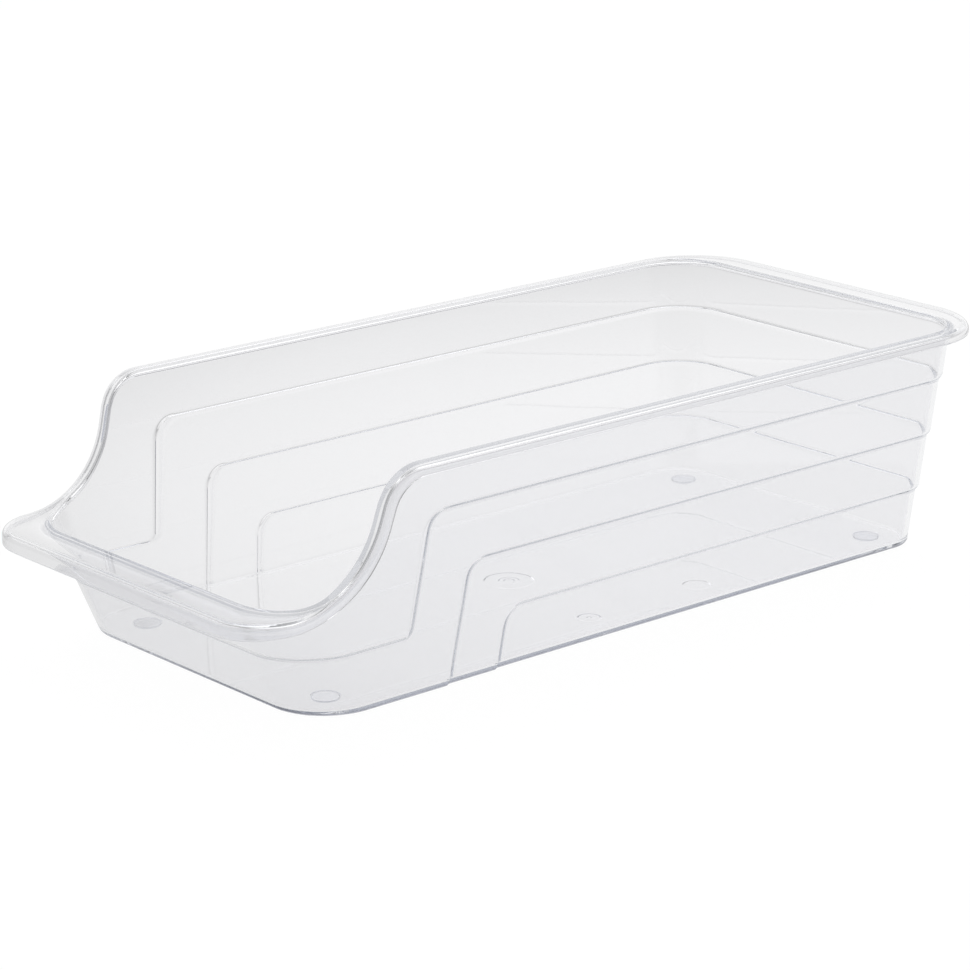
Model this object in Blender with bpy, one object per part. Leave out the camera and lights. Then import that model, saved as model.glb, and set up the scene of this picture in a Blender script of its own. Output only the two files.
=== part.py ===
"""Clear fridge organizer: one moulded tray on four round pads.

The tray is a single clear injection moulding.  Its floor, four drafted walls, three stepped ledges,
scooped front and turned-over rim are one skin of plastic.  The walls step outwards at each ledge.
On the sides each ledge turns down in a round corner and runs to the floor as an upright, except the
top one, which turns forward again at the lowest ledge's height and runs round the front.  The rim
is a channel: flat on top, with a lip hanging from its outer edge.  It is narrow along the sides,
wider at the rear, and widest at the front, where it is the pull.

Four clear pads sit in shallow round seats under the floor and carry the tray.

Units are metres, +Z is up, +Y points to the rear wall and +X to the right-hand wall.  The origin is
on the surface that the pads stand on, under the middle of the tray's overall length and width.
"""
import bmesh
import bpy
import numpy as np
from mathutils import Matrix, Vector

MM = 0.001

# Floor and walls, outer faces.  Plan sizes are taken at the floor's underside.
FLOOR_HALF_WIDTH = 74.9 * MM
FLOOR_REAR = 172.13 * MM
FLOOR_FRONT = 162.67 * MM
TRAY_HEIGHT = 96 * MM
FRONT_HEIGHT = 47 * MM
WALL = 1.9 * MM
FLOOR_THICKNESS = 2 * MM
SIDE_DRAFT_SHARE = 0.0934
REAR_DRAFT_SHARE = 0.098
FRONT_LEAN_SHARE = 0.41

# Plan corners of the outer walls, at the floor and at the rim.
REAR_CORNER_FLOOR = 17 * MM
REAR_CORNER_RIM = 21 * MM
FRONT_CORNER_FLOOR = 22.5 * MM
FRONT_CORNER_RIM = 23 * MM

# Fillets where the walls meet the floor.
OUTER_FILLET = 2.3 * MM
INNER_FILLET = 1.5 * MM

# Ledges, counted from the lowest.
LEDGE_COUNT = 3
LEDGE_STEP = 1.2 * MM
LEDGE_FACE = 0.7 * MM
LOWEST_LEDGE = 25.2 * MM
LEDGE_PITCH = 24.45 * MM
LEDGE_CORNER = 8 * MM
LEDGE_TOE = 3 * MM
UPRIGHT_LEAN_SHARE = 0.106
UPRIGHT_PITCH = 25.35 * MM
FOREMOST_UPRIGHT_SETBACK = 41.1 * MM
INNER_LEDGE_SHIFT_SHARE = 0.6

# Rim channel.  Widths run from a wall's outer face to the lip's outer face.
SIDE_RIM = 4.6 * MM
REAR_RIM = 13.8 * MM
FRONT_RIM = 15.8 * MM
RIM_THICKNESS = 1.9 * MM
LIP_THICKNESS = 1.6 * MM
LIP_DROP = 4.5 * MM
FRONT_LIP_DROP = 7 * MM
RIM_OUTER_ROUND = 1.9 * MM
RIM_INNER_ROUND = 1.2 * MM
RIM_REAR_CORNER = 36 * MM
RIM_FRONT_CORNER = 22.5 * MM

# Scoop of the side rims, from the rim's full height down to the front's height.
SCOOP_LENGTH = 57.2 * MM
SCOOP_FOOT_SETBACK = 5 * MM
SCOOP_TURN_SHARE = 0.925
SCOOP_TOP_RADIUS_SHARE = 0.32

# Pads and their seats.
PAD_RADIUS = 5.6 * MM
PAD_HEIGHT = 1 * MM
PAD_EDGE_ROUND = 0.8 * MM
SEAT_DEPTH = 0.6 * MM
PAD_CLEARANCE = 0.3 * MM
PAD_SIDE_SETBACK = 19.1 * MM
PAD_FRONT_SETBACK = 21.5 * MM
PAD_REAR_SETBACK = 16.7 * MM

CUT_OVERRUN = 1 * MM
MERGE_DISTANCE = 0.001 * MM
STATION_GAP = 0.05 * MM

# Facets, and the rounds in which a column's top settles on the scoop.
CORNER_FACETS = 14
OUTLINE_FACETS = 40
SETTLING_ROUNDS = 12
SCOOP_FACETS = 8
LEDGE_CORNER_FACETS = 4
FILLET_FACETS = 3
ROUND_FACETS = 3
PAD_FACETS = 28

# Colours, linear, with the surface values of clear moulded plastic.
CLEAR_PLASTIC = dict(color=(0.86, 0.89, 0.92, 1.0), roughness=0.05, metallic=0.0, transmission=1.0)
CLEAR_PAD = dict(color=(0.82, 0.85, 0.88, 1.0), roughness=0.25, metallic=0.0, transmission=0.9)


def front_at(height):
    """Distance forward of the front wall's outer face, without its ledge steps."""
    return FLOOR_FRONT - (LEDGE_COUNT - 1) * LEDGE_STEP + FRONT_LEAN_SHARE * height


def rear_at(height):
    """Distance rearward of the rear wall's outer face, without its ledge steps."""
    return FLOOR_REAR + REAR_DRAFT_SHARE * height


def half_width_at(height):
    """Half width over the side walls' outer faces, without their ledge steps."""
    return FLOOR_HALF_WIDTH + SIDE_DRAFT_SHARE * height


def rear_radius_at(height):
    """Plan radius of a rear corner, which opens from the floor to the rim."""
    return REAR_CORNER_FLOOR + (REAR_CORNER_RIM - REAR_CORNER_FLOOR) * height / TRAY_HEIGHT


def front_radius_at(height):
    """Plan radius of a front corner, which closes from the floor to the low front rim."""
    return FRONT_CORNER_FLOOR + (FRONT_CORNER_RIM - FRONT_CORNER_FLOOR) * height / FRONT_HEIGHT


def smooth(share):
    """Ease from 0 to 1 with level ends."""
    share = np.clip(share, 0, 1)
    return share * share * (3 - 2 * share)


def rounded_path(corners, radii, facets):
    """Polyline through the corners, with a tangent arc of each radius at the inner corners."""
    points = [corners[0]]
    for before, corner, after, radius in zip(corners, corners[1:], corners[2:], radii):
        arriving = (corner - before) / np.linalg.norm(corner - before)
        leaving = (after - corner) / np.linalg.norm(after - corner)
        turn = np.arctan2(arriving[0] * leaving[1] - arriving[1] * leaving[0], arriving @ leaving)
        side = np.sign(turn) * np.array([-arriving[1], arriving[0]])
        start = corner - arriving * radius * np.tan(abs(turn) / 2)
        for angle in np.linspace(0, abs(turn), facets + 1):
            points.append(start + arriving * radius * np.sin(angle) + side * radius * (1 - np.cos(angle)))
    points.append(corners[-1])
    return np.array(points)


def ledge_path(ledge, outward):
    """Path of a ledge on the side wall as (y, z) points from front to rear.

    The step face lies between two such paths: outward is -1 for its lower edge, on the inner of the
    two walls, and +1 for its upper edge, above and in front of it.
    """
    half_face = outward * LEDGE_FACE / 2
    level = LOWEST_LEDGE + ledge * LEDGE_PITCH + half_face
    low_level = LOWEST_LEDGE + half_face
    ledges_ahead = LEDGE_COUNT - 1 - ledge
    foot = -FLOOR_FRONT + FOREMOST_UPRIGHT_SETBACK + ledges_ahead * UPRIGHT_PITCH
    foot -= half_face * np.hypot(1, UPRIGHT_LEAN_SHARE)
    rear_end = np.array([FLOOR_REAR, level])
    corner = np.array([foot + UPRIGHT_LEAN_SHARE * level, level])
    corner_radius = LEDGE_CORNER + half_face
    if ledges_ahead:
        below = np.array([foot - UPRIGHT_LEAN_SHARE * LEDGE_PITCH, -LEDGE_PITCH])
        path = rounded_path([rear_end, corner, below], [corner_radius], LEDGE_CORNER_FACETS)
    else:
        toe = np.array([foot + UPRIGHT_LEAN_SHARE * low_level, low_level])
        front_end = np.array([-FLOOR_FRONT, low_level])
        toe_radius = LEDGE_TOE - half_face
        path = rounded_path([rear_end, corner, toe, front_end], [corner_radius, toe_radius], LEDGE_CORNER_FACETS)
    return path[::-1]


def ledge_height(ledge, outward, y):
    """Height of a ledge's lower or upper edge over the side wall's positions y."""
    path = ledge_path(ledge, outward)
    return np.interp(y, path[:, 0], path[:, 1])


def floor_steps(y, height):
    """How many steps the side wall already stands out at a height near the floor, over positions y."""
    steps = np.zeros_like(y)
    for ledge in range(LEDGE_COUNT - 1):
        behind, ahead = (
            np.interp(height, path[:, 1], path[:, 0])
            for path in (ledge_path(ledge, -1), ledge_path(ledge, 1))
        )
        steps += np.clip((behind - y) / (behind - ahead), 0, 1)
    return steps


def scoop_path():
    """Side rim's curve as (y, z, angle) rows from front to rear.

    It is a convex arc, a short straight and a concave arc, tangent to the full height behind it and
    to the front's height ahead of it.  The angle is the slope below level.
    """
    drop = TRAY_HEIGHT - FRONT_HEIGHT
    front_rim = front_at(FRONT_HEIGHT) + LEDGE_COUNT * LEDGE_STEP
    start = -front_rim + SCOOP_FOOT_SETBACK + SCOOP_LENGTH
    turn = 2 * np.arctan2(drop, SCOOP_LENGTH) * SCOOP_TURN_SHARE
    radii = (SCOOP_LENGTH * np.sin(turn) - drop * np.cos(turn)) / (1 - np.cos(turn))
    top_radius = radii * SCOOP_TOP_RADIUS_SHARE
    foot_radius = radii - top_radius
    angles = np.linspace(0, turn, SCOOP_FACETS + 1)
    top_y = start - top_radius * np.sin(angles)
    top_z = TRAY_HEIGHT - top_radius * (1 - np.cos(angles))
    foot_y = start - SCOOP_LENGTH + foot_radius * np.sin(angles)
    foot_z = FRONT_HEIGHT + foot_radius * (1 - np.cos(angles))
    return np.column_stack([
        np.concatenate([foot_y, top_y[::-1]]),
        np.concatenate([foot_z, top_z[::-1]]),
        np.concatenate([angles, angles[::-1]]),
    ])


def rim_height(y):
    """Height of the rim's top over positions y."""
    path = scoop_path()
    return np.interp(y, path[:, 0], path[:, 1])


def rim_angle(y):
    """Slope of the rim below level over positions y."""
    path = scoop_path()
    return np.interp(y, path[:, 0], path[:, 2])


def front_corner_start():
    """Position on the side rim where the front corner begins: its leaning edge meets the scoop."""
    height = FRONT_HEIGHT
    for _ in range(SETTLING_ROUNDS):
        y = front_radius_at(height) - front_at(height)
        height = rim_height(y)
    return y


def side_positions():
    """Positions along a side wall that follow every bend of the ledges and of the scoop."""
    front_end = front_corner_start()
    rear_end = rear_at(TRAY_HEIGHT) - rear_radius_at(TRAY_HEIGHT)
    bends = [scoop_path()[:, 0]]
    for ledge in range(LEDGE_COUNT):
        for outward in (-1, 1):
            path = ledge_path(ledge, outward)
            bends.append(path[1:-1, 0])
            if ledge < LEDGE_COUNT - 1:
                bends.append([np.interp(OUTER_FILLET, path[:, 1], path[:, 0])])
    positions = np.unique(np.concatenate(bends))
    positions = positions[(positions > front_end + STATION_GAP) & (positions < rear_end - STATION_GAP)]
    apart = np.concatenate([[True], np.diff(positions) > STATION_GAP])
    return np.concatenate([[front_end], positions[apart], [rear_end]])


def make_stations():
    """Columns round the right half of the tray, from the middle of the rear to that of the front.

    Each column has the direction of the wall's face (turn: 0 on the side), its end of the tray (end:
    +1 rear, 0 side, -1 front), its share of the straight stretch across the tray, and on the sides
    its position at the rim and at the floor.  Columns ahead of the ledges fan out with the height,
    because the front wall leans forward.
    """
    rim_y = side_positions()[::-1]
    foremost_bend = ledge_path(LEDGE_COUNT - 1, 1)[1, 0]
    front_share = np.clip((foremost_bend - rim_y) / (foremost_bend - rim_y[-1]), 0, 1)
    front_floor = -(front_at(0) - front_radius_at(0))
    floor_y = np.where(rim_y < foremost_bend, foremost_bend + front_share * (front_floor - foremost_bend), rim_y)
    quarter = np.linspace(0, np.pi / 2, CORNER_FACETS + 1)[1:]
    corner_count = len(quarter)
    side_count = len(rim_y)
    nothing = np.zeros(corner_count + 1)
    return {
        "turn": np.concatenate([[np.pi / 2], quarter[::-1], np.zeros(side_count), quarter, [np.pi / 2]]),
        "end": np.concatenate([np.ones(corner_count + 1), np.zeros(side_count), -np.ones(corner_count + 1)]),
        "across": np.concatenate([[0], np.ones(corner_count * 2 + side_count), [0]]),
        "rim_y": np.concatenate([nothing, rim_y, nothing]),
        "floor_y": np.concatenate([nothing, floor_y, nothing]),
    }


def column(values):
    """Station values as a column, to combine with rows of heights."""
    return np.asarray(values)[:, None]


def wall_points(stations, side_y, height, offset):
    """Points at a height on the walls, moved outwards by an offset.

    A corner keeps its centre and takes the offset on its radius.  All inputs are stations by rows.
    """
    end = column(stations["end"])
    turn = column(stations["turn"])
    across = column(stations["across"])
    radius = np.where(end > 0, rear_radius_at(height), front_radius_at(height))
    reach = np.where(end > 0, rear_at(height), front_at(height))
    x = (half_width_at(height) - radius) * across + (radius + offset) * np.cos(turn)
    y = np.where(end == 0, side_y, end * (reach - radius + (radius + offset) * np.sin(turn)))
    return np.stack([x, y, height + 0 * x], axis=-1)


def wall_slope(stations):
    """Outward lean of the wall at each station, blended round the corners."""
    end_slope = np.where(stations["end"] > 0, REAR_DRAFT_SHARE, FRONT_LEAN_SHARE)
    blend = np.sin(stations["turn"]) ** 2
    return SIDE_DRAFT_SHARE * (1 - blend) + end_slope * blend


def side_line(stations, rim_top, height):
    """Position along the side of each station's column at a height."""
    rim_y, floor_y = column(stations["rim_y"]), column(stations["floor_y"])
    return floor_y + (rim_y - floor_y) * height / rim_top


def rim_tops(stations):
    """Height of the rim over each station, which depends on where its leaning column ends."""
    top = np.full((len(stations["turn"]), 1), TRAY_HEIGHT)
    top[stations["end"] < 0] = FRONT_HEIGHT
    for _ in range(SETTLING_ROUNDS):
        reached = wall_points(stations, column(stations["rim_y"]), top, LEDGE_COUNT * LEDGE_STEP)
        top = rim_height(reached[..., 1])
    return top


def wall_rows(stations, rim_top, lowest, fillet, thickness, shift):
    """Rows of one face of the walls, from the floor up to the top ledge.

    The face starts at the height lowest with a fillet, lies a thickness inside the outer face, and
    has its ledges shifted upwards from the outer ones.
    """
    slope = column(wall_slope(stations))
    lean = np.arctan(slope)
    inset = -thickness * np.hypot(1, slope)
    rim_y = column(stations["rim_y"])
    side = column(stations["end"]) == 0
    steps_at_floor = np.where(
        side,
        floor_steps(rim_y, lowest + fillet - shift),
        np.where(column(stations["end"]) > 0, 0, LEDGE_COUNT - 1),
    )
    share = np.linspace(0, 1, FILLET_FACETS + 1)[None, :]
    angle = -np.pi / 2 + share * (np.pi / 2 - lean)
    heights = [lowest + fillet * (1 + np.sin(angle))]
    offsets = [
        steps_at_floor * LEDGE_STEP + inset
        + fillet * (np.cos(angle) - slope * np.sin(angle) - 1 / np.cos(lean))
    ]
    fillet_top = heights[0][:, -1:]
    ceiling = rim_top - RIM_THICKNESS - LEDGE_FACE
    for ledge in range(LEDGE_COUNT):
        for outward in (-1, 1):
            along = np.where(side, rim_y, np.where(column(stations["end"]) > 0, FLOOR_REAR, -FLOOR_FRONT))
            level = ledge_height(ledge, outward, along)
            heights.append(np.clip(level + shift, fillet_top, ceiling))
            steps = np.maximum(ledge + (outward > 0), steps_at_floor)
            offsets.append(steps * LEDGE_STEP + inset)
    height = np.concatenate([rows + 0 * rim_top for rows in heights], axis=1)
    offset = np.concatenate([rows + 0 * rim_top for rows in offsets], axis=1)
    return wall_points(stations, side_line(stations, rim_top, height), height, offset)


def lip_outline(stations, root, back):
    """Plan of a line that runs a distance back from the lip's outer edge: inset from the side, and y.

    Along the sides the line lies square to the wall's top, the root.  Each corner has the rim's own
    radius, and is divided evenly between the side's last column and the middle of that end.
    """
    end, turn, across = stations["end"], stations["turn"], stations["across"]
    inset = np.zeros(len(end)) + back
    y = root[:, 0, 1].copy()
    full_step = LEDGE_COUNT * LEDGE_STEP
    ends = (
        (1, TRAY_HEIGHT, rear_at(TRAY_HEIGHT) + REAR_RIM, RIM_REAR_CORNER),
        (-1, FRONT_HEIGHT, front_at(FRONT_HEIGHT) + FRONT_RIM, RIM_FRONT_CORNER),
    )
    for sign, height, reach, radius in ends:
        at_end = end == sign
        width = half_width_at(height) + full_step + SIDE_RIM
        reach = sign * (reach + full_step - back)
        side_end = sign * (sign * y[end == 0]).max()
        straight_start = max(width - root[at_end & (across > 0), 0, 0].min(), radius)
        corners = np.array([[back, side_end], [back, reach], [straight_start, reach]])
        path = rounded_path(corners, [radius - back], OUTLINE_FACETS)
        lengths = np.concatenate([[0], np.cumsum(np.linalg.norm(np.diff(path, axis=0), axis=1))])
        run = turn[at_end] / (np.pi / 2) * lengths[-1]
        inset[at_end] = np.interp(run, lengths, path[:, 0])
        y[at_end] = np.interp(run, lengths, path[:, 1])
    return column(inset), column(y)


def rim_rows(stations, rim_top):
    """Rows of the rim channel, from under its root at the wall, round the lip and over to the inside."""
    full_step = LEDGE_COUNT * LEDGE_STEP
    rim_y = column(stations["rim_y"])
    inset = WALL * np.hypot(1, column(wall_slope(stations)))
    round_front = np.where(stations["end"] < 0, stations["turn"] / (np.pi / 2), 0)
    lip_drop = LIP_DROP + (FRONT_LIP_DROP - LIP_DROP) * column(smooth(round_front))
    root = wall_points(stations, rim_y, rim_top, full_step)

    def from_edge(back, down):
        """Point a distance back from the lip's outer edge and down from the rim's top."""
        side_inset, y = lip_outline(stations, root, back)
        top, angle = rim_height(y), rim_angle(y)
        x = (half_width_at(top) + full_step + SIDE_RIM - side_inset) * column(stations["across"])
        return np.stack([x, y + down * np.sin(angle), top - down * np.cos(angle)], axis=-1)

    def from_wall(inwards, down):
        """Point inwards of the wall's outer face and down from the rim's top."""
        angle = rim_angle(root[..., 1])
        height = rim_top - down * np.cos(angle)
        return wall_points(stations, rim_y + down * np.sin(angle), height, full_step - inwards)

    quarter = np.linspace(0, np.pi / 2, ROUND_FACETS + 1)
    rows = [
        from_wall(0, RIM_THICKNESS),
        from_edge(LIP_THICKNESS, RIM_THICKNESS),
        from_edge(LIP_THICKNESS, lip_drop),
        from_edge(0, lip_drop),
    ]
    for angle in quarter:
        rows.append(from_edge(RIM_OUTER_ROUND * (1 - np.cos(angle)), RIM_OUTER_ROUND * (1 - np.sin(angle))))
    for angle in quarter[::-1]:
        rounding = RIM_INNER_ROUND * (1 - np.cos(angle))
        rows.append(from_wall(inset - rounding, RIM_INNER_ROUND * (1 - np.sin(angle))))
    return np.concatenate(rows, axis=1)


def tray_grid():
    """All points of the tray's skin, as stations round the plan by rows through the section."""
    stations = make_stations()
    rim_top = rim_tops(stations)
    shift = WALL * INNER_LEDGE_SHIFT_SHARE
    outer = wall_rows(stations, rim_top, 0, OUTER_FILLET, 0, 0)
    inner = wall_rows(stations, rim_top, FLOOR_THICKNESS, INNER_FILLET, WALL, shift)
    half = np.concatenate([outer, rim_rows(stations, rim_top), inner[:, ::-1]], axis=1)
    mirrored = half[-2:0:-1] * np.array([-1, 1, 1])
    return np.concatenate([half, mirrored], axis=0)


def make_material(name, color, roughness, metallic, transmission):
    """Principled BSDF with the piece's own colour and surface."""
    material = bpy.data.materials.new(name)
    material.use_nodes = True
    shader = material.node_tree.nodes["Principled BSDF"]
    shader.inputs["Base Color"].default_value = color
    shader.inputs["Roughness"].default_value = roughness
    shader.inputs["Metallic"].default_value = metallic
    shader.inputs["Transmission Weight"].default_value = transmission
    material.diffuse_color = color
    return material


def make_object(name, bm, material, parent, location):
    """Object from a finished bmesh, placed under its parent."""
    bmesh.ops.remove_doubles(bm, verts=bm.verts, dist=MERGE_DISTANCE)
    bmesh.ops.recalc_face_normals(bm, faces=bm.faces)
    mesh = bpy.data.meshes.new(name)
    bm.to_mesh(mesh)
    bm.free()
    mesh.shade_smooth()
    mesh.set_sharp_from_angle(angle=np.radians(25))
    if material:
        mesh.materials.append(material)
    piece = bpy.data.objects.new(name, mesh)
    piece.parent = parent
    piece.location = location
    bpy.context.collection.objects.link(piece)
    return piece


def pad_places():
    """Middles of the four pads, by the name of their corner."""
    x = FLOOR_HALF_WIDTH - PAD_SIDE_SETBACK
    front = -FLOOR_FRONT + PAD_FRONT_SETBACK
    rear = FLOOR_REAR - PAD_REAR_SETBACK
    return {
        "front_left": (-x, front),
        "front_right": (x, front),
        "rear_left": (-x, rear),
        "rear_right": (x, rear),
    }


def make_tray(parent):
    """Tray: the lofted skin, closed by the floor's two faces, with four seats cut into its underside."""
    grid = tray_grid()
    bm = bmesh.new()
    rows = [[bm.verts.new(point) for point in station] for station in grid]
    for station, following in zip(rows, rows[1:] + rows[:1]):
        for row in range(grid.shape[1] - 1):
            bm.faces.new((station[row], following[row], following[row + 1], station[row + 1]))
    bm.faces.new([station[0] for station in rows])
    bm.faces.new([station[-1] for station in reversed(rows)])
    tray = make_object("tray", bm, make_material("clear moulded plastic", **CLEAR_PLASTIC), parent, (0, 0, PAD_HEIGHT))
    for corner, (x, y) in pad_places().items():
        cutter_mesh = bmesh.new()
        depth = SEAT_DEPTH + CUT_OVERRUN
        seat_middle = Matrix.Translation(Vector((x, y, SEAT_DEPTH - depth / 2)))
        seat_radius = PAD_RADIUS + PAD_CLEARANCE
        bmesh.ops.create_cone(
            cutter_mesh, cap_ends=True, segments=PAD_FACETS,
            radius1=seat_radius, radius2=seat_radius, depth=depth, matrix=seat_middle,
        )
        cutter = make_object(corner + "_seat_cutter", cutter_mesh, None, parent, (0, 0, PAD_HEIGHT))
        cutter.hide_render = True
        cutter.display_type = "WIRE"
        cut = tray.modifiers.new(corner + " seat", "BOOLEAN")
        cut.operation = "DIFFERENCE"
        cut.solver = "EXACT"
        cut.object = cutter


def make_pads(parent):
    """Pads: turned discs with a rounded lower edge, each in its seat."""
    material = make_material("clear soft pad", **CLEAR_PAD)
    top = PAD_HEIGHT + SEAT_DEPTH - PAD_CLEARANCE
    angles = np.linspace(0, np.pi / 2, ROUND_FACETS + 1)
    profile = [(PAD_RADIUS - PAD_EDGE_ROUND * (1 - np.sin(a)), PAD_EDGE_ROUND * (1 - np.cos(a))) for a in angles]
    profile.append((PAD_RADIUS, top))
    for corner, (x, y) in pad_places().items():
        bm = bmesh.new()
        rings = []
        for radius, height in profile:
            ring = []
            for facet in range(PAD_FACETS):
                angle = 2 * np.pi * facet / PAD_FACETS
                ring.append(bm.verts.new((radius * np.cos(angle), radius * np.sin(angle), height)))
            rings.append(ring)
        for lower, upper in zip(rings, rings[1:]):
            for facet in range(PAD_FACETS):
                following = (facet + 1) % PAD_FACETS
                bm.faces.new((lower[facet], lower[following], upper[following], upper[facet]))
        bm.faces.new(rings[0][::-1])
        bm.faces.new(rings[-1])
        make_object(corner + "_foot", bm, material, parent, (x, y, 0))


def main():
    for old in list(bpy.data.objects):
        bpy.data.objects.remove(old, do_unlink=True)
    organizer = bpy.data.objects.new("fridge_organizer", None)
    bpy.context.collection.objects.link(organizer)
    make_tray(organizer)
    make_pads(organizer)


main()
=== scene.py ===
"""Dressed model of a clear fridge organizer bin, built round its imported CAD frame.

The tray is one skin of clear plastic, worked out on a grid: columns round the plan by rows through the
section.  Its columns stand along the leaning uprights of the ledges and fan out to the leaning front.
Cutters then take the pads' seats and the moulding marks out of the floor.
"""

import bmesh
import bpy
import numpy as np
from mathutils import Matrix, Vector


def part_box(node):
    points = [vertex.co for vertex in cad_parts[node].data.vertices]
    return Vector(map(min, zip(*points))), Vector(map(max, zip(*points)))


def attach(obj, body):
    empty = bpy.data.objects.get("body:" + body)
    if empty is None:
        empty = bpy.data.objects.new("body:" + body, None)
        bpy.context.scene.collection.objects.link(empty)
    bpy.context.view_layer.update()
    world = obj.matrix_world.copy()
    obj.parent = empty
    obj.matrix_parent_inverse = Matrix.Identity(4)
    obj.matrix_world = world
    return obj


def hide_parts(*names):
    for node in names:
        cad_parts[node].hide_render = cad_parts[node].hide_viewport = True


bl_info = {
    "name": "Fridge organizer bin",
    "version": (1, 0, 0),
    "blender": (4, 5, 0),
    "location": "View3D > Sidebar > Bin",
    "description": "Makes a clear moulded fridge bin with stepped ledges, its pads and a plain studio",
    "category": "Add Mesh",
}

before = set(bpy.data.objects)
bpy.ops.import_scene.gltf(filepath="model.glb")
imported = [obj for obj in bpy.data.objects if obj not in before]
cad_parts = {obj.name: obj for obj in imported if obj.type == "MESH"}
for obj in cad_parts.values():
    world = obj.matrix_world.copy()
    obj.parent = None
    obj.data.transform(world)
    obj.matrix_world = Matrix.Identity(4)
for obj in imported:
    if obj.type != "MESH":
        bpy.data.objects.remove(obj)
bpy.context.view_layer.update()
MM = 0.001
PAD_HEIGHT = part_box("tray")[0].z
TRAY_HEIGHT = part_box("tray")[1].z - PAD_HEIGHT

# Outer faces of the floor and the walls.
FLOOR_REAR = 172.13 * MM
FLOOR_FRONT = 162.67 * MM
SIDE_DRAFT = 0.0934
REAR_DRAFT = 0.098
FRONT_LEAN = 0.41
REAR_CORNER = (17 * MM, 21 * MM)
FRONT_CORNER = (22.5 * MM, 23 * MM)
OUTER_FILLET = 1.9 * MM
INNER_FILLET = 1.5 * MM

# Ledges, counted from the lowest.
LEDGES = 3
LOWEST_LEDGE = 24.7 * MM
LEDGE_PITCH = 24.45 * MM
LEDGE_CORNER = 8 * MM
LEDGE_TOE = 3 * MM
UPRIGHT_LEAN = 0.106
UPRIGHT_PITCH = 25.35 * MM
FOREMOST_UPRIGHT = -FLOOR_FRONT + 39.6 * MM
INNER_RISE = 1.2 * MM
INNER_SETBACK = 0.6 * MM
INNER_LEAN = 0.03

# Rim channel.
RIM_REAR_CORNER = 36 * MM
RIM_FRONT_CORNER = 22.5 * MM
LIP_DROP = 4.5 * MM
FRONT_LIP_DROP = 7 * MM
LIP_EDGE_ROUND = 0.5 * MM
CHANNEL_FILLET = 1.5 * MM
SCOOP_FOOT_SETBACK = 5 * MM
SCOOP_TURN_SHARE = 0.925
SCOOP_TOP_SHARE = 0.32

# Pads and their seats in the underside.
PAD_X = 55.8 * MM
PAD_FRONT = -FLOOR_FRONT + 21.5 * MM
PAD_REAR = FLOOR_REAR - 16.7 * MM
SEAT_RADIUS = 5.9 * MM
SEAT_DEPTH = 0.6 * MM

# Marks that the moulding leaves in the underside, in millimetres: x, y, and each step's radius, slant
# and depth.
MOULD_MARKS = (
    (0.0, 0.0, ((10.5, 0.6, 0.12), (4.85, 0.8, 0.3), (2.95, 1.2, 0.6))),
    (55.8, -6.7, ((5.0, 0.8, 0.3), (1.6, 1.0, 0.6))),
    (55.0, 54.3, ((6.0, 0.6, 0.1),)),
)
CUT_OVERRUN = 1 * MM

# Grid.  A zone is a set of distances from a ledge's crease, close together where the step curves.
# The rows and columns next to a round's end keep the shading of the flat beside it even.
ZONE = np.array([
    -9.2, -8.4, -7.6, -6.8, -6, -5.2, -4.6, -4, -3.5, -3, -2.6, -2.2, -1.8, -1.4, -1, -0.7, -0.4, -0.15,
    0, 0.1, 0.22, 0.36, 0.52, 0.7, 0.9, 1.15, 1.45, 1.9, 2.5, 3.2,
]) * MM
TOE_ZONE = np.array([4.2, 5.2, 6.3]) * MM
SCOOP_BASE = LOWEST_LEDGE + TOE_ZONE[-1]
SCOOP_COLUMNS = 32
REAR_COLUMNS = 9
CORNER_COLUMNS = 24
ROUND_ROWS = 8
FILLET_ROWS = 7
PLAIN_POINTS = 5
ARC_POINTS = 24
CURVE_POINTS = 60
TURNED_FACETS = 64
NEXT_ROW = 0.3 * MM
NEXT_COLUMN = 1.0 * MM
NEXT_ACROSS = 0.98
HALVINGS = 40
BEYOND_UPRIGHTS = 1.0
WELD = 0.0005 * MM
SHARP_TURN = np.radians(32)
LEVEL_NORMAL = 0.9999999
FLOOR_BAND = 2.05 * MM

# Clear plastics: roughness, index of refraction, and density of the colour inside.
PET = (0.02, 1.57, 10.0)
SOFT_PVC = (0.08, 1.52, 30.0)
WAVE_WIDTH = 15.4 * MM
WAVE_LENGTH = 62.5 * MM
WAVE_HEIGHT = 0.02 * MM
CAUGHT_BOUNCES = 5.0
# Grey of the light let out after CAUGHT_BOUNCES: painted shade that sets how dark the edges and creases look
# where light is caught.
LET_OUT_SHADE = (0.86, 0.8686, 0.8901, 1)

# Studio: the floor and the painted pool of light on it, the sky's greys from the horizon up, its shading
# from front to rear as (from, to, least, most), and the soft boxes as name, place, size and power.
STUDIO_HALF = 6.0
FLOOR_LEVEL = -0.1 * MM
GLOW_SHARE = 0.92
CAMERA_GLOW = 1.05
# Painted pool of light and shade on the floor, seen only by bent rays: its middle, its reach, and its (place,
# grey) stops.
PAINTED_POOL_MIDDLE = (0.0, 0.25)
PAINTED_POOL_REACH = 2.0
PAINTED_POOL = ((0.1, 1.0), (0.175, 0.93), (0.225, 0.82), (0.3, 0.73), (0.6, 0.5), (1.0, 0.45))
SKY = ((0.3, 1.0), (0.6, 0.6), (0.8, 0.3), (1.0, 0.3))
SKY_SIDE = (-0.3, 0.4, 0.45, 1.0)
SOFT_BOXES = (
    ("soft_box_rear", (-0.3, 0.7, 1.4), 1.3, 5.5),
    ("soft_box_left", (-1.1, -0.4, 1.3), 1.0, 3.5),
)

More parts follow.
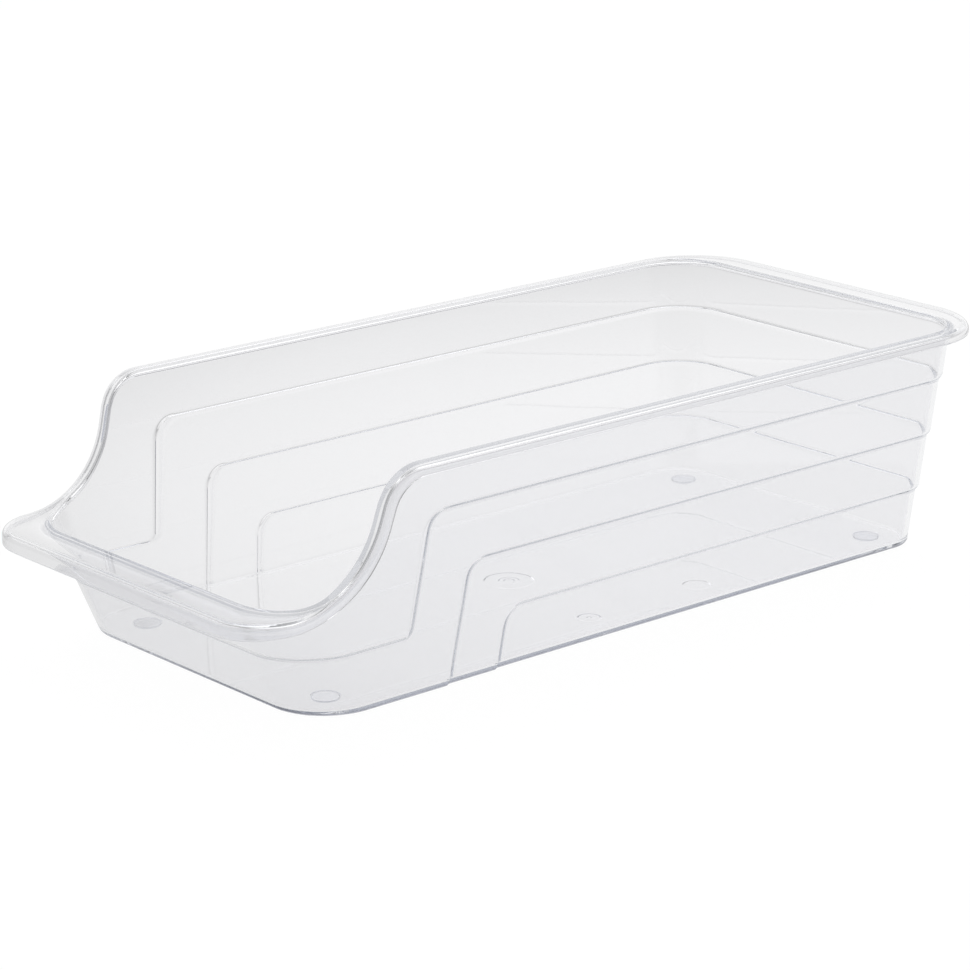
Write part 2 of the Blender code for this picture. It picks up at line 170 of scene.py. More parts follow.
# Camera, fitted to the photograph's straight edges: degrees round from the front and up, and metres.
CAMERA_ROUND = 48.7202
CAMERA_UP = 17.0215
CAMERA_DISTANCE = 1441.788 * MM
CAMERA_TARGET = (-20.409 * MM, 5.63 * MM, 37.616 * MM)
CAMERA_NEAR = 0.01
SENSOR_WIDTH = 36.0
PICTURE_PIXELS = 970
FOCAL_PIXELS = 3471.4668


def length(name, description, millimetres):
    """Length property with a default in millimetres."""
    return bpy.props.FloatProperty(
        name=name, description=description, default=millimetres * MM, unit="LENGTH", precision=4,
    )


def colour(name, description, hex_value):
    """Colour property with an sRGB hex default."""
    return bpy.props.FloatVectorProperty(
        name=name, description=description, default=linear(hex_value), subtype="COLOR", size=3, min=0, max=1,
    )


def linear(hex_value):
    """Linear red, green and blue of an sRGB hex colour."""
    srgb = np.array([int(hex_value[i:i + 2], 16) for i in (1, 3, 5)]) / 255
    return tuple(np.where(srgb <= 0.04045, srgb / 12.92, ((srgb + 0.055) / 1.055) ** 2.4).tolist())


class BinSizes(bpy.types.PropertyGroup):
    """Sizes of the bin that a user would change."""
    floor_half_width: length("Floor half width", "Half width over the side walls at the underside", 74.9)
    front_height: length("Front height", "Height of the low front rim above the floor's underside", 47)
    wall: length("Wall", "Thickness of the walls", 1.9)
    floor: length("Floor", "Thickness of the floor", 2)
    ledge_step: length("Ledge step", "How far the wall stands out at each ledge", 1.2)
    ledge_round: length("Ledge round", "Radius with which the outer face rounds in to a ledge's crease", 1.6)
    inner_round: length("Inner ledge round", "Radius with which the inner face rounds out to a ledge", 3.4)
    inner_crease: length("Inner crease", "Radius of the inner face's crease at a ledge", 0.8)
    side_rim: length("Side rim", "Width of the side rim beyond the wall's outer face", 4.6)
    rear_rim: length("Rear rim", "Width of the rear rim beyond the wall's outer face", 13.8)
    front_rim: length("Front rim", "Width of the front rim beyond the wall's outer face", 15.8)
    rim: length("Rim", "Thickness of the rim's top", 1.9)
    lip: length("Lip", "Thickness of the lip that hangs from the rim", 1.6)
    rim_outer_round: length("Outer round", "Radius of the rim's outer edge", 3.3)
    rim_inner_round: length("Inner round", "Radius of the rim's inner edge", 0.8)
    scoop: length("Scoop", "Length of the side rim's fall to the front", 57.2)


class BinColours(bpy.types.PropertyGroup):
    """Colours of the bin and of its studio."""
    body: colour("Body", "Colour that light takes on deep inside the clear plastic", "#b6b9c4")
    surface: colour("Surface", "Colour of the clear plastic's surface", "#f9f9fa")
    pads: colour("Pads", "Colour of the clear pads", "#e4e8ec")
    floor: colour("Floor", "Colour of the studio's floor", "#ffffff")


def wall_reach(end, height):
    """Reach of the front or rear wall's outer face from the middle, without its steps: a straight draft."""
    front = FLOOR_FRONT - (LEDGES - 1) * bpy.context.scene.bin_sizes.ledge_step + FRONT_LEAN * height
    return np.where(end > 0, FLOOR_REAR + REAR_DRAFT * height, front)


def corner_radius(end, height, front_height):
    """Plan radius of the outer face's corner: it changes evenly from the floor to the rim."""
    rear = REAR_CORNER[0] + (REAR_CORNER[1] - REAR_CORNER[0]) * height / TRAY_HEIGHT
    front = FRONT_CORNER[0] + (FRONT_CORNER[1] - FRONT_CORNER[0]) * height / front_height
    return np.where(end > 0, rear, front)


def ledge_distance(ledge, y, z, inner):
    """Distance from a ledge's crease on the side wall, positive above it and ahead of it.

    It is the distance from a box with a round corner, whose upper edge is the ledge and whose front
    edge is the leaning upright.  The top ledge is joined by a round toe to the low front ledge.  The
    inner face's ledges are a little higher, and its uprights lie behind the outer ones.
    """
    rise, back = (INNER_RISE, INNER_SETBACK + INNER_LEAN * z) if inner else (0, 0)
    above = z - rise - (LOWEST_LEDGE + ledge * LEDGE_PITCH) + LEDGE_CORNER
    foot = FOREMOST_UPRIGHT + (LEDGES - 1 - ledge) * UPRIGHT_PITCH
    ahead = (foot + back + UPRIGHT_LEAN * z - y) / np.hypot(1, UPRIGHT_LEAN) + LEDGE_CORNER
    outside = np.hypot(np.maximum(above, 0), np.maximum(ahead, 0))
    distance = outside + np.minimum(np.maximum(above, ahead), 0) - LEDGE_CORNER
    if ledge == LEDGES - 1:
        low = z - rise - LOWEST_LEDGE
        toe = np.hypot(np.maximum(LEDGE_TOE - low, 0), np.maximum(LEDGE_TOE - distance, 0))
        distance = np.maximum(LEDGE_TOE, np.minimum(low, distance)) - toe
    return distance


def steps_out(sizes, y, z, inner):
    """How far the wall stands out at (y, z): the sum of the ledges' profiles over their creases' distances.

    On the outer face an arc leaves the crease steeply and ends level with the upper wall.  On the inner
    face a wide arc leaves the lower wall level, and a tight one turns it back level at the crease.
    """
    step = sizes.ledge_step
    if inner:
        wide, tight = sizes.inner_round, sizes.inner_crease
        arc = np.linspace(0, np.arccos(1 - step / (wide + tight)), ARC_POINTS)
        back = arc[::-1]
        rising = wide * (np.sin(arc) - np.sin(arc[-1]))
        distance = np.concatenate([rising, tight * (np.sin(arc[-1]) - np.sin(back))])
        out = np.concatenate([wide * (1 - np.cos(arc)), step - tight * (1 - np.cos(back))])
    else:
        radius = sizes.ledge_round
        arc = np.linspace(np.arccos(1 - step / radius), 0, ARC_POINTS)
        distance, out = radius * (np.sin(arc[0]) - np.sin(arc)), radius * np.cos(arc) - radius + step
    return sum(np.interp(ledge_distance(ledge, y, z, inner), distance, out) for ledge in range(LEDGES))


def scoop_curve(sizes):
    """Side rim's curve as (y, z, slope angle) rows: a concave and a convex arc, each tangent to its level."""
    drop = TRAY_HEIGHT - sizes.front_height
    front_rim = wall_reach(-1, sizes.front_height) + LEDGES * sizes.ledge_step
    start = -front_rim + SCOOP_FOOT_SETBACK + sizes.scoop
    turn = 2 * np.arctan2(drop, sizes.scoop) * SCOOP_TURN_SHARE
    radii = (sizes.scoop * np.sin(turn) - drop * np.cos(turn)) / (1 - np.cos(turn))
    top, foot = radii * SCOOP_TOP_SHARE, radii * (1 - SCOOP_TOP_SHARE)
    rising = np.linspace(0, turn, CURVE_POINTS)
    easing = rising[::-1]
    low_y = start - sizes.scoop + foot * np.sin(rising)
    low_z = sizes.front_height + foot * (1 - np.cos(rising))
    high_y = start - top * np.sin(easing)
    high_z = TRAY_HEIGHT - top * (1 - np.cos(easing))
    return np.concatenate([np.column_stack([low_y, low_z, rising]), np.column_stack([high_y, high_z, easing])])


class TrayGrid:
    """Columns round the right half of the tray, from the middle of the rear to the middle of the front."""

    def __init__(self, sizes):
        self.sizes = sizes
        self.curve = scoop_curve(sizes)
        self.full_step = LEDGES * sizes.ledge_step
        height = sizes.front_height
        front_radius = FRONT_CORNER[0]
        front_start = front_radius - wall_reach(-1, 0)
        front_lean = (FRONT_CORNER[1] - FRONT_CORNER[0]) / height - FRONT_LEAN
        rear_start = FLOOR_REAR - REAR_CORNER[0]
        rear_lean = REAR_DRAFT - (REAR_CORNER[1] - REAR_CORNER[0]) / TRAY_HEIGHT
        uprights = FOREMOST_UPRIGHT + np.arange(LEDGES) * UPRIGHT_PITCH
        near = (uprights[:, None] - ZONE[None, :]).ravel()
        between = [
            np.linspace(ahead - ZONE[0], behind - ZONE[-1], PLAIN_POINTS)[1:-1]
            for ahead, behind in zip(uprights, uprights[1:])
        ]
        toe = uprights[0] - TOE_ZONE
        ahead = np.linspace(toe.min(), front_start, SCOOP_COLUMNS)[1:]
        behind = np.append(np.linspace(near.max(), rear_start, REAR_COLUMNS)[1:], rear_start - NEXT_COLUMN)
        side = np.unique(np.concatenate([near, *between, toe, ahead, behind]))[::-1]
        lean_places = [front_start, toe.min(), near.max(), rear_start]
        lean = np.interp(side, lean_places, [front_lean, UPRIGHT_LEAN, UPRIGHT_LEAN, rear_lean])
        quarter = np.linspace(0, np.pi / 2, CORNER_COLUMNS + 1)[1:]
        nothing = np.zeros(len(quarter) + 2)
        round_end = np.ones(len(quarter))
        middle = np.full(2, np.pi / 2)
        self.turn = np.concatenate([middle, quarter[::-1], 0 * side, quarter, middle])[:, None]
        self.end = np.concatenate([nothing + 1, 0 * side, nothing - 1])[:, None]
        across = [[0, NEXT_ACROSS], round_end, np.ones(len(side)), round_end, [NEXT_ACROSS, 0]]
        self.across = np.concatenate(across)[:, None]
        self.start = np.concatenate([nothing, side, nothing])[:, None]
        self.lean = np.concatenate([nothing, lean, nothing])[:, None]
        end_slope = np.where(self.end > 0, REAR_DRAFT, FRONT_LEAN)
        self.slope = SIDE_DRAFT + (end_slope - SIDE_DRAFT) * np.sin(self.turn) ** 2
        self.top = self.rim_tops()

    def half_width(self, height):
        """Half width over the side walls' outer faces, without their steps: a straight draft."""
        return self.sizes.floor_half_width + SIDE_DRAFT * height

    def rim_height(self, y):
        """Height of the rim's top over positions y."""
        return np.interp(y, self.curve[:, 0], self.curve[:, 1])

    def rim_angle(self, y):
        """Slope of the rim over positions y."""
        return np.interp(y, self.curve[:, 0], self.curve[:, 2])

    def wall_points(self, height, offset, shift=0):
        """Points of the walls at a height, moved outwards by an offset, and on the sides along by a shift.

        A side column is a straight leaning line.  A corner is an arc that keeps its centre and takes
        the offset on its radius.
        """
        radius = corner_radius(self.end, height, self.sizes.front_height)
        reach = wall_reach(self.end, height)
        x = (self.half_width(height) - radius) * self.across + (radius + offset) * np.cos(self.turn)
        side_y = self.start + self.lean * height + shift
        end_y = self.end * (reach - radius + (radius + offset) * np.sin(self.turn))
        y = np.where(self.end == 0, side_y, end_y)
        return np.stack([x, y, height + 0 * x], axis=-1)

    def rim_tops(self):
        """Height of the rim over each column, found by halving: where the column's line meets the rim."""
        low = np.full_like(self.turn, self.sizes.front_height)
        high = np.full_like(self.turn, TRAY_HEIGHT)
        for _ in range(HALVINGS):
            middle = (low + high) / 2
            under = self.rim_height(self.wall_points(middle, self.full_step)[..., 1]) > middle
            low, high = np.where(under, middle, low), np.where(under, high, middle)
        return np.where(self.end > 0, TRAY_HEIGHT, high)

    def wall_face(self, lowest, fillet, thickness, below_top):
        """Rows of one face of the walls, from its fillet at the floor up to the rim.

        Rows keep their heights up to the low ledge.  Above it they are squeezed evenly under the rim
        where that falls to the front.
        """
        lean = np.arctan(self.slope)
        inset = -thickness * np.hypot(1, self.slope)
        angle = -np.pi / 2 + np.linspace(0, 1, FILLET_ROWS + 1)[None, :] * (np.pi / 2 - lean)
        heights = [lowest + fillet * (1 + np.sin(angle))]
        offsets = [inset + fillet * (np.cos(angle) - self.slope * np.sin(angle) - 1 / np.cos(lean))]
        levels = LOWEST_LEDGE + np.arange(LEDGES) * LEDGE_PITCH
        top = TRAY_HEIGHT - below_top
        zones = (levels[:, None] + ZONE[None, :]).ravel()
        rows = np.unique(np.concatenate([zones, LOWEST_LEDGE + TOE_ZONE, [top - NEXT_ROW, top]]))
        plain = np.linspace(fillet + lowest, rows[0], PLAIN_POINTS)[1:-1]
        rows = np.concatenate([[fillet + lowest + NEXT_ROW], plain, rows])
        squeeze = (self.top - below_top - SCOOP_BASE) / (top - SCOOP_BASE)
        heights.append(np.where(rows > SCOOP_BASE, SCOOP_BASE + (rows - SCOOP_BASE) * squeeze, rows))
        offsets.append(inset + 0 * heights[1])
        height = np.concatenate(heights, axis=1)
        offset = np.concatenate(offsets, axis=1)
        along = np.where(self.end == 0, self.start + self.lean * height, self.end * BEYOND_UPRIGHTS)
        return self.wall_points(height, offset + steps_out(self.sizes, along, height, thickness > 0))

    def lip_outline(self, root, back):
        """Plan of a line that runs a distance back from the lip's outer edge: inset from the side, and y.

        Along the sides it lies square to the wall's top, the root.  Each corner is an arc of the rim's
        own radius between straights, with its columns spread evenly over the whole length.
        """
        sizes = self.sizes
        inset = np.zeros(len(self.end)) + back
        y = root[:, 0, 1].copy()
        end = self.end[:, 0]
        ends = (
            (1, TRAY_HEIGHT, sizes.rear_rim, RIM_REAR_CORNER),
            (-1, sizes.front_height, sizes.front_rim, RIM_FRONT_CORNER),
        )
        for sign, height, rim, radius in ends:
            there = end == sign
            width = self.half_width(height) + self.full_step + sizes.side_rim
            reach = wall_reach(sign, height) + rim + self.full_step - back
            side_end = (sign * y[end == 0]).max()
            straight = max(width - root[there & (self.across[:, 0] > 0), 0, 0].min(), radius)
            turn = np.linspace(0, np.pi / 2, CURVE_POINTS)
            arc_x = back + (radius - back) * (1 - np.cos(turn))
            arc_y = reach - (radius - back) * (1 - np.sin(turn))
            path_x = np.concatenate([[back], arc_x, [straight]])
            path = np.column_stack([path_x, np.concatenate([[side_end], arc_y, [reach]])])
            run = np.concatenate([[0], np.cumsum(np.linalg.norm(np.diff(path, axis=0), axis=1))])
            place = self.turn[there, 0] / (np.pi / 2) * run[-1]
            inset[there] = np.interp(place, run, path[:, 0])
            y[there] = sign * np.interp(place, run, path[:, 1])
        return inset[:, None], y[:, None]

    def rim_face(self):
        """Rows of the rim channel: out under its top, down and round the lip, back over and to the inside."""
        sizes = self.sizes
        inset = sizes.wall * np.hypot(1, self.slope)
        share = np.where(self.end < 0, self.turn / (np.pi / 2), 0)
        drop = LIP_DROP + (FRONT_LIP_DROP - LIP_DROP) * share * share * (3 - 2 * share)
        root = self.wall_points(self.top, self.full_step)

        def from_edge(back, down):
            """Point a distance back from the lip's outer edge and square down from the rim's top."""
            side_inset, y = self.lip_outline(root, back)
            top, angle = self.rim_height(y), self.rim_angle(y)
            x = (self.half_width(top) + self.full_step + sizes.side_rim - side_inset) * self.across
            return np.stack([x, y + down * np.sin(angle), top - down * np.cos(angle)], axis=-1)

        def from_wall(inwards, down):
            """Point inwards of the wall's outer face and square down from the rim's top."""
            angle = self.rim_angle(root[..., 1])
            height = self.top - down * np.cos(angle)
            shift = down * (np.sin(angle) + self.lean * np.cos(angle))
            return self.wall_points(height, self.full_step - inwards, shift)

        def arc(radius, count):
            """Quarter arc's (away, down) from its corner, from level with its centre to straight above it."""
            turns = np.linspace(0, np.pi / 2, count + 1)
            return [(radius * (1 - np.cos(turn)), radius * (1 - np.sin(turn))) for turn in turns]

        channel, edge = arc(CHANNEL_FILLET, ROUND_ROWS // 2), arc(LIP_EDGE_ROUND, ROUND_ROWS // 2)
        outer, inner = arc(sizes.rim_outer_round, ROUND_ROWS), arc(sizes.rim_inner_round, ROUND_ROWS)
        rows = [from_wall(-away, sizes.rim + down) for away, down in channel]
        rows += [from_edge(sizes.lip + away, sizes.rim + down) for away, down in channel[::-1]]
        rows += [from_edge(sizes.lip - away, drop - down) for away, down in edge]
        rows += [from_edge(away, drop - down) for away, down in edge[::-1]]
        rows += [from_edge(away, down) for away, down in outer]
        rows += [from_edge(sizes.rim_outer_round + NEXT_ROW, 0)]
        rows += [from_wall(inset - sizes.rim_inner_round - NEXT_ROW, 0)]
        rows += [from_wall(inset - away, down) for away, down in inner[::-1]]
        return np.concatenate(rows, axis=1)

    def points(self):
        """All points: the right half's columns and their mirror image, by rows from underside to inside."""
        sizes = self.sizes
        outer = self.wall_face(0, OUTER_FILLET, 0, sizes.rim + CHANNEL_FILLET)
        inner = self.wall_face(sizes.floor, INNER_FILLET, sizes.wall, sizes.rim_inner_round)
        half = np.concatenate([outer, self.rim_face()[:, 1:-1], inner[:, ::-1]], axis=1)
        whole = np.concatenate([half, half[-2:0:-1] * np.array([-1, 1, 1])], axis=0)
        return whole + np.array([0, 0, PAD_HEIGHT])


def shade(mesh):
    """Smooth shading with sharp turns marked.  The floor's level faces are flat, so that they stay even."""
    count = len(mesh.polygons)
    normals, middles = np.empty(count * 3), np.empty(count * 3)
    mesh.polygons.foreach_get("normal", normals)
    mesh.polygons.foreach_get("center", middles)
    level = np.abs(normals[2::3]) > LEVEL_NORMAL
    low = middles[2::3] < PAD_HEIGHT + FLOOR_BAND
    mesh.set_sharp_from_angle(angle=SHARP_TURN)
    mesh.polygons.foreach_set("use_smooth", ~(level & low))
    mesh.update()


def mesh_object(name, points, faces):
    """Object from points and faces, welded, with its faces outwards and its sharp turns marked."""
    bm = bmesh.new()
    mesh = bpy.data.meshes.new(name)
    mesh.from_pydata(points.tolist(), [], faces)
    bm.from_mesh(mesh)
    bmesh.ops.remove_doubles(bm, verts=bm.verts, dist=WELD)
    bmesh.ops.recalc_face_normals(bm, faces=bm.faces)
    bm.to_mesh(mesh)
    bm.free()
    shade(mesh)
    piece = bpy.data.objects.new(name, mesh)
    bpy.context.scene.collection.objects.link(piece)
    return piece


def grid_faces(columns, rows):
    """Quads of a grid whose columns close on themselves."""
    column, row = np.meshgrid(np.arange(columns), np.arange(rows - 1), indexing="ij")
    following = (column + 1) % columns
    quads = [column * rows + row, following * rows + row, following * rows + row + 1, column * rows + row + 1]
    return np.stack(quads, axis=-1).reshape(-1, 4).tolist()


def turned_object(name, profile, middle):
    """Closed turned solid: a profile of (radius, height) carried round a vertical axis."""
    profile = np.asarray(profile)
    facets = TURNED_FACETS
    angles = np.linspace(0, 2 * np.pi, facets, endpoint=False)
    points = np.stack([
        middle[0] + np.cos(angles)[:, None] * profile[:, 0],
        middle[1] + np.sin(angles)[:, None] * profile[:, 0],
        middle[2] + 0 * angles[:, None] + profile[:, 1],
    ], axis=-1).reshape(-1, 3)
    rows = len(profile)
    caps = [np.arange(facets) * rows, (np.arange(facets) * rows + rows - 1)[::-1]]
    return mesh_object(name, points, grid_faces(facets, rows) + [cap.tolist() for cap in caps])


def cut(piece, cutters):
    """Takes the cutters out of the piece, and removes them."""
    for cutter in cutters:
        change = piece.modifiers.new(cutter.name, "BOOLEAN")
        change.operation = "DIFFERENCE"
        change.solver = "EXACT"
        change.object = cutter
    mesh = bpy.data.meshes.new_from_object(piece.evaluated_get(bpy.context.evaluated_depsgraph_get()))
    piece.modifiers.clear()
    piece.data = mesh
    for cutter in cutters:
        bpy.data.objects.remove(cutter)
    shade(mesh)


def add_node(tree, kind, settings=None, links=None):
    """Node with its settings, and links from other outputs to its inputs, each by name or by number."""
    node = tree.nodes.new(kind)
    for key, value in (settings or {}).items():
        if isinstance(key, int) or key in node.inputs:
            node.inputs[key].default_value = value
        else:
            setattr(node, key, value)
    for key, output in (links or {}).items():
        tree.links.new(output, node.inputs[key])
    return node


def fade(tree, value, stops):
    """Grey that follows (place, grey) stops along a value."""
    node = add_node(tree, "ShaderNodeValToRGB", None, {"Fac": value})
    ramp = node.color_ramp.elements
    while len(ramp) < len(stops):
        ramp.new(1.0)
    for stop, (place, grey) in zip(ramp, stops):
        stop.position = place
        stop.color = (grey, grey, grey, 1)
    return node.outputs["Color"]


def clear_plastic(name, finish, surface, body):
    """Clear moulded plastic: polished, with long flow waves left by the mould, and tinted by its thickness.

    Light caught inside a wall would go round in it for ever, so after a number of bounces the surface lets it
    straight through, tinted grey: painted shade that darkens the edges and creases where light is caught.
    """
    roughness, ior, density = finish
    material = bpy.data.materials.new(name)
    material.use_nodes = True
    tree = material.node_tree
    tree.nodes.clear()
    place = add_node(tree, "ShaderNodeTexCoord").outputs["Object"]
    # The melt flows along the bin, so its waves are long that way.
    scale = {"Scale": (1 / WAVE_WIDTH, 1 / WAVE_LENGTH, 1 / WAVE_WIDTH)}
    stretched = add_node(tree, "ShaderNodeMapping", scale, {"Vector": place}).outputs["Vector"]
    waves = add_node(tree, "ShaderNodeTexNoise", {
        "Scale": 1.0, "Detail": 2.0, "Roughness": 0.45,
    }, {"Vector": stretched}).outputs["Fac"]
    bump = add_node(tree, "ShaderNodeBump", {"Strength": 1.0, "Distance": WAVE_HEIGHT}, {"Height": waves})
    shader = add_node(tree, "ShaderNodeBsdfPrincipled", {
        "Base Color": (*surface, 1), "Roughness": roughness, "IOR": ior, "Transmission Weight": 1.0,
    }, {"Normal": bump.outputs["Normal"]}).outputs[0]
    bounces = add_node(tree, "ShaderNodeLightPath").outputs["Ray Depth"]
    caught = add_node(tree, "ShaderNodeMath", {"operation": "GREATER_THAN", 1: CAUGHT_BOUNCES}, {0: bounces})
    # Caught light let out tinted grey: painted shade at the edges and creases.
    let_out = add_node(tree, "ShaderNodeBsdfTransparent", {"Color": LET_OUT_SHADE})
    skin = add_node(tree, "ShaderNodeMixShader", None, {
        0: caught.outputs[0], 1: shader, 2: let_out.outputs[0],
    })
    inside = add_node(tree, "ShaderNodeVolumeAbsorption", {"Color": (*body, 1), "Density": density})
    add_node(tree, "ShaderNodeOutputMaterial", None, {"Surface": skin.outputs[0], "Volume": inside.outputs[0]})
    return material


class BIN_OT_tray(bpy.types.Operator):
    """Make the clear moulded tray with its ledges, scoop, rim, pad seats and moulding marks"""
    bl_idname = "bin.tray"
    bl_label = "Make the tray"

    def execute(self, context):
        sizes, colours = context.scene.bin_sizes, context.scene.bin_colours
        points = TrayGrid(sizes).points()
        columns, rows = points.shape[:2]
        underside = (np.arange(columns) * rows).tolist()
        inside = (np.arange(columns) * rows + rows - 1)[::-1].tolist()
        faces = grid_faces(columns, rows) + [underside, inside]
        tray = mesh_object("tray_moulding", points.reshape(-1, 3), faces)
        cutters = []
        for x in (-PAD_X, PAD_X):
            for y in (PAD_FRONT, PAD_REAR):
                profile = [(SEAT_RADIUS, -SEAT_DEPTH), (SEAT_RADIUS, SEAT_DEPTH)]
                cutters.append(turned_object("seat_cutter", profile, (x, y, PAD_HEIGHT)))
        for x, y, steps in MOULD_MARKS:
            for radius, slant, depth in steps:
                rim, end = radius * MM, (radius - slant) * MM
                profile = [(rim, -CUT_OVERRUN), (rim, 0), (end, depth * MM)]
                cutters.append(turned_object("mark_cutter", profile, (x * MM, y * MM, PAD_HEIGHT)))
        cut(tray, cutters)
        # PET, injection moulded in a polished tool: clear and glossy, a little blue where light runs along
        # inside it.
        finish = clear_plastic("PET plastic, moulded clear", PET, colours.surface, colours.body)
        tray.data.materials.clear()
        tray.data.materials.append(finish)
        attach(tray, "root")
        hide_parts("tray")
        return {"FINISHED"}


class BIN_OT_pads(bpy.types.Operator):
    """Give the four round pads their clear soft plastic"""
    bl_idname = "bin.pads"
    bl_label = "Finish the pads"

    def execute(self, context):
        colours = context.scene.bin_colours
        # Soft PVC, moulded: clear, and duller than the tray.
        finish = clear_plastic("Soft PVC, moulded clear", SOFT_PVC, colours.surface, colours.pads)
        for name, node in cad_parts.items():
            if name.endswith("_foot"):
                node.data.materials.clear()
                node.data.materials.append(finish)
        return {"FINISHED"}


class BIN_OT_stage(bpy.types.Operator):
    """Make the pale floor, the soft lights, the sky and the camera"""
    bl_idname = "bin.stage"
    bl_label = "Make the studio"

    def execute(self, context):
        scene = context.scene
        scene.view_settings.view_transform = "Standard"
        self.make_floor(scene.bin_colours.floor)
        self.make_sky(scene)
        self.make_lights()
        self.make_camera(scene)
        return {"FINISHED"}

    def make_floor(self, floor_colour):
        """Wide white floor.  The camera sees it white, with a faint shadow.

        Rays that clear plastic bends see a painted pool of light on it: brightest a little behind the bin, and
        painted shade, greyer the further out they land.
        """
        corners = np.array([(-1, -1, 0), (1, -1, 0), (1, 1, 0), (-1, 1, 0)]) * STUDIO_HALF
        corners[:, 2] = FLOOR_LEVEL
        floor = mesh_object("studio_floor", corners, [[0, 1, 2, 3]])
        material = bpy.data.materials.new("Matt white board, with a painted pool of light")
        material.use_nodes = True
        tree = material.node_tree
        tree.nodes.clear()
        rays = add_node(tree, "ShaderNodeLightPath").outputs
        place = add_node(tree, "ShaderNodeTexCoord").outputs["Object"]
        aim = {"Location": (-PAINTED_POOL_MIDDLE[0], -PAINTED_POOL_MIDDLE[1], 0)}
        centred = add_node(tree, "ShaderNodeMapping", aim, {"Vector": place}).outputs["Vector"]
        away = add_node(tree, "ShaderNodeVectorMath", {"operation": "LENGTH"}, {0: centred}).outputs["Value"]
        camera, glossy, through = rays["Is Camera Ray"], rays["Is Glossy Ray"], rays["Is Transmission Ray"]
        kind = "ShaderNodeMath"
        # Painted pool of light for bent rays: emission brightest near its middle, falling to painted shade
        # outwards; camera rays see plain white.
        far = add_node(tree, kind, {"operation": "DIVIDE", 1: PAINTED_POOL_REACH}, {0: away}).outputs[0]
        pool = fade(tree, far, PAINTED_POOL)
        straight = add_node(tree, kind, {"operation": "MULTIPLY", 1: CAMERA_GLOW}, {0: camera}).outputs[0]
        strength = add_node(tree, kind, {"operation": "MAXIMUM"}, {0: pool, 1: straight}).outputs[0]
        bent = add_node(tree, kind, {"operation": "MAXIMUM"}, {0: glossy, 1: through}).outputs[0]
        seen = add_node(tree, kind, {"operation": "MAXIMUM"}, {0: camera, 1: bent}).outputs[0]
        share = add_node(tree, kind, {"operation": "MULTIPLY", 1: GLOW_SHARE}, {0: seen}).outputs[0]
        colour_in = {"Color": (*floor_colour, 1)}
        paint = add_node(tree, "ShaderNodeBsdfDiffuse", colour_in).outputs[0]
        glow = add_node(tree, "ShaderNodeEmission", colour_in, {"Strength": strength}).outputs[0]
        shown = add_node(tree, "ShaderNodeMixShader", None, {0: share, 1: paint, 2: glow}).outputs[0]
        add_node(tree, "ShaderNodeOutputMaterial", None, {"Surface": shown})
        floor.data.materials.append(material)

    def make_sky(self, scene):
        """Studio walls and ceiling as a sky: white low down, darker overhead and on the front side."""
        world = bpy.data.worlds.new("Studio walls and ceiling")
        world.use_nodes = True
        scene.world = world
        tree = world.node_tree
        tree.nodes.clear()
        direction = add_node(tree, "ShaderNodeTexCoord").outputs["Generated"]
        axes = add_node(tree, "ShaderNodeSeparateXYZ", None, {"Vector": direction}).outputs
        height = fade(tree, axes["Z"], SKY)
        start, end, least, most = SKY_SIDE
        side = add_node(tree, "ShaderNodeMapRange", {
            "interpolation_type": "SMOOTHSTEP",
            "From Min": start, "From Max": end, "To Min": least, "To Max": most,
        }, {"Value": axes["Y"]}).outputs["Result"]
        background = add_node(tree, "ShaderNodeBackground", None, {"Color": height, "Strength": side})
        add_node(tree, "ShaderNodeOutputWorld", None, {"Surface": background.outputs[0]})

    def make_lights(self):
        """Two soft boxes: a large one high behind the bin, and a weaker one high on its left."""
        for name, place, size, power in SOFT_BOXES:
            light = bpy.data.lights.new(name, "AREA")
            light.size = size
            light.energy = power
            box = bpy.data.objects.new(name, light)
            box.location = place
            box.rotation_euler = (-Vector(place)).to_track_quat("-Z", "Y").to_euler()
            bpy.context.scene.collection.objects.link(box)

    def make_camera(self, scene):
        """Camera fitted to the photograph: 48.7 degrees round from the front, 17 degrees up, 1.44 m off."""
        azimuth, elevation = np.radians(CAMERA_ROUND), np.radians(CAMERA_UP)
        away = Vector((
            np.sin(azimuth) * np.cos(elevation), -np.cos(azimuth) * np.cos(elevation), np.sin(elevation),
        ))
        lens = bpy.data.cameras.new("camera")
        lens.sensor_width = SENSOR_WIDTH
        lens.lens = SENSOR_WIDTH * FOCAL_PIXELS / PICTURE_PIXELS
        lens.clip_start = CAMERA_NEAR
        camera = bpy.data.objects.new("camera", lens)
        camera.location = Vector(CAMERA_TARGET) + away * CAMERA_DISTANCE
        camera.rotation_euler = (-away).to_track_quat("-Z", "Y").to_euler()
        scene.collection.objects.link(camera)
        scene.camera = camera


class BIN_PT_panel(bpy.types.Panel):
    """Sizes, colours and steps of the bin"""
    bl_idname = "BIN_PT_panel"
    bl_label = "Fridge bin"
    bl_space_type = "VIEW_3D"
    bl_region_type = "UI"
    bl_category = "Bin"

    def draw(self, context):
        for group in (context.scene.bin_sizes, context.scene.bin_colours):
            for name in group.bl_rna.properties.keys():
                if name not in ("rna_type", "name"):
                    self.layout.prop(group, name)
        for operator in OPERATORS:
            self.layout.operator(operator.bl_idname)


OPERATORS = (BIN_OT_tray, BIN_OT_pads, BIN_OT_stage)
CLASSES = (BinSizes, BinColours, *OPERATORS, BIN_PT_panel)


def register():
    for kind in CLASSES:
        bpy.utils.register_class(kind)
    bpy.types.Scene.bin_sizes = bpy.props.PointerProperty(type=BinSizes)
    bpy.types.Scene.bin_colours = bpy.props.PointerProperty(type=BinColours)


def unregister():
    del bpy.types.Scene.bin_sizes
    del bpy.types.Scene.bin_colours
    for kind in reversed(CLASSES):
        bpy.utils.unregister_class(kind)


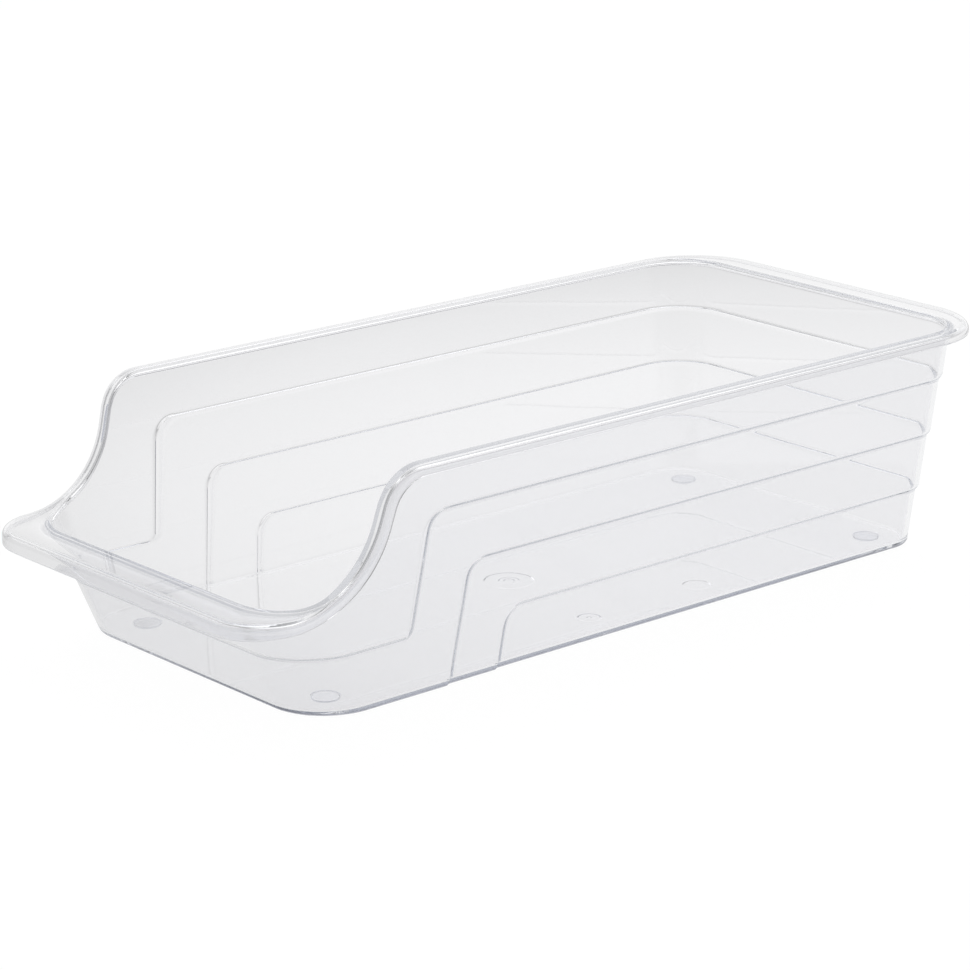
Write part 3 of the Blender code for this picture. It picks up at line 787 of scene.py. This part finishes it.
def main():
    """Registers the add-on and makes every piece."""
    register()
    for operator in OPERATORS:
        group, name = operator.bl_idname.split(".")
        getattr(getattr(bpy.ops, group), name)()


if __name__ == "__main__":
    main()
